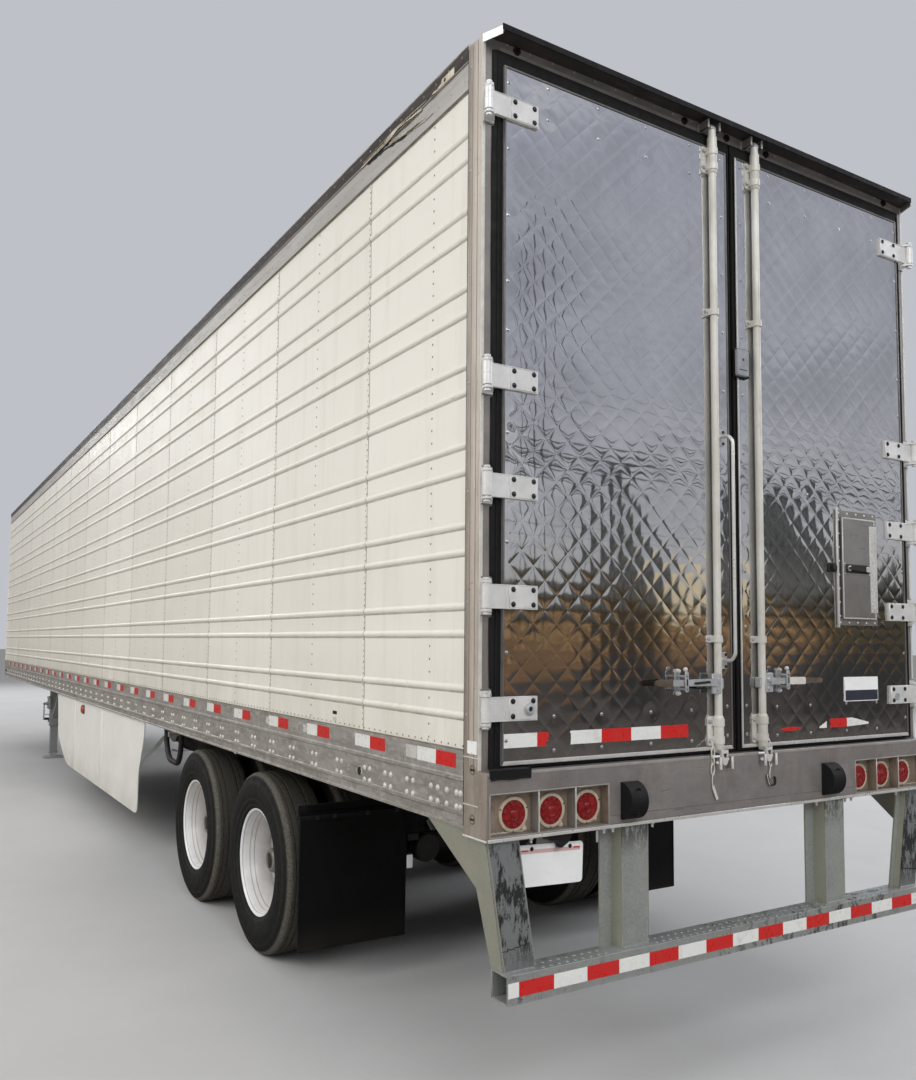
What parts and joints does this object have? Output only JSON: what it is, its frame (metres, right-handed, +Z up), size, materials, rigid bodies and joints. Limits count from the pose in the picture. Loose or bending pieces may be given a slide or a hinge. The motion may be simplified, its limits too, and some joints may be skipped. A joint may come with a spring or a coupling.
{
  "type": "enclosed cargo trailer",
  "caption": "Enclosed insulated semi-trailer with ribbed sides, quilted swing rear doors, vent hatch, impact guard and tandem twin-wheel axles, parked on its landing legs.",
  "frame": {"origin": "on the ground, in the middle of the whole trailer's length and width", "axes": "+Z up, +Y to the rear doors, +X to the trailer's left (road) side"},
  "size_m": [2.63, 16.704, 4.08],
  "materials": {
    "white_skin": "weathered off-white paint",
    "rail_aluminium": "dull brushed aluminium",
    "frame_stainless": "stained brushed stainless",
    "quilted_stainless": "embossed mirror stainless",
    "zinc_hardware": "zinc plated",
    "galvanised": "galvanised, scuffed",
    "black_steel": "black paint, road dust",
    "black_rubber": "matte",
    "tyre_rubber": "dusty",
    "white_rims": "painted white, dusty",
    "floor_metal": "worn",
    "red_lens": "moulded lens",
    "dark_lens": "moulded lens",
    "grey_plastic": "moulded",
    "hatch_metal": "satin stainless",
    "skirt_white": "dusty white composite",
    "tank_aluminium": "satin",
    "plate_blank": "blank plate"
  },
  "bodies": {
    "root": {"left_side_wall": "white_skin", "right_side_wall": "white_skin", "front_wall": "white_skin", "roof_panel": "white_skin", "refrigeration_unit": "white_skin", "top_rails": "rail_aluminium", "bottom_rails": "rail_aluminium", "rear_posts": "frame_stainless", "rear_header": "frame_stainless", "rear_sill": "frame_stainless", "post_hinge_brackets": "zinc_hardware", "rear_impact_guard": "galvanised", "guard_posts": "galvanised", "landing_gear": "galvanised", "floor_crossmembers": "black_steel", "slider_frame": "black_steel", "suspension_arms": "black_steel", "rear_axle": "black_steel", "front_axle": "black_steel", "coupler_plate": "black_steel", "air_tanks": "black_steel", "unit_grille": "black_steel", "dock_bumpers": "black_rubber", "air_springs": "black_rubber", "mud_flaps": "black_rubber", "floor_deck": "floor_metal", "tail_lamps": "red_lens", "marker_lamps": "dark_lens", "side_skirts": "skirt_white", "fuel_tank": "tank_aluminium", "licence_plate": "plate_blank"},
    "left_door": {"left_rear_door": "quilted_stainless", "left_door_seal": "black_rubber", "left_door_hinges": "zinc_hardware", "left_lock_rod": "zinc_hardware", "door_grab_bar": "zinc_hardware"},
    "right_door": {"right_rear_door": "quilted_stainless", "right_door_seal": "black_rubber", "right_door_hinges": "zinc_hardware", "right_lock_rod": "zinc_hardware", "vent_frame": "hatch_metal", "door_sensor": "grey_plastic"},
    "vent_hatch": {"vent_door": "hatch_metal"},
    "rear_left_wheel": {"rear_left_tyres": "tyre_rubber", "rear_left_rims": "white_rims"},
    "rear_right_wheel": {"rear_right_tyres": "tyre_rubber", "rear_right_rims": "white_rims"},
    "front_left_wheel": {"front_left_tyres": "tyre_rubber", "front_left_rims": "white_rims"},
    "front_right_wheel": {"front_right_tyres": "tyre_rubber", "front_right_rims": "white_rims"}
  },
  "joints": [
    {"name": "rear_left_wheel_spin", "type": "hinge", "parent": "root", "child": "rear_left_wheel", "pos_m": [0.975, 5.852, 0.504], "axis": [1, 0, 0], "continuous": true},
    {"name": "rear_right_wheel_spin", "type": "hinge", "parent": "root", "child": "rear_right_wheel", "pos_m": [-0.975, 5.852, 0.504], "axis": [1, 0, 0], "continuous": true},
    {"name": "front_left_wheel_spin", "type": "hinge", "parent": "root", "child": "front_left_wheel", "pos_m": [0.975, 4.602, 0.504], "axis": [1, 0, 0], "continuous": true},
    {"name": "front_right_wheel_spin", "type": "hinge", "parent": "root", "child": "front_right_wheel", "pos_m": [-0.975, 4.602, 0.504], "axis": [1, 0, 0], "continuous": true},
    {"name": "left_door_swing", "type": "hinge", "parent": "root", "child": "left_door", "pos_m": [1.298, 8.272, 2.6], "axis": [0, 0, -1], "range_deg": [0, 265]},
    {"name": "right_door_swing", "type": "hinge", "parent": "root", "child": "right_door", "pos_m": [-1.298, 8.272, 2.6], "axis": [0, 0, 1], "range_deg": [0, 265]},
    {"name": "vent_hatch_swing", "type": "hinge", "parent": "right_door", "child": "vent_hatch", "pos_m": [-0.962, 8.268, 2.127], "axis": [0, 0, -1], "range_deg": [-110, 0]}
  ]
}
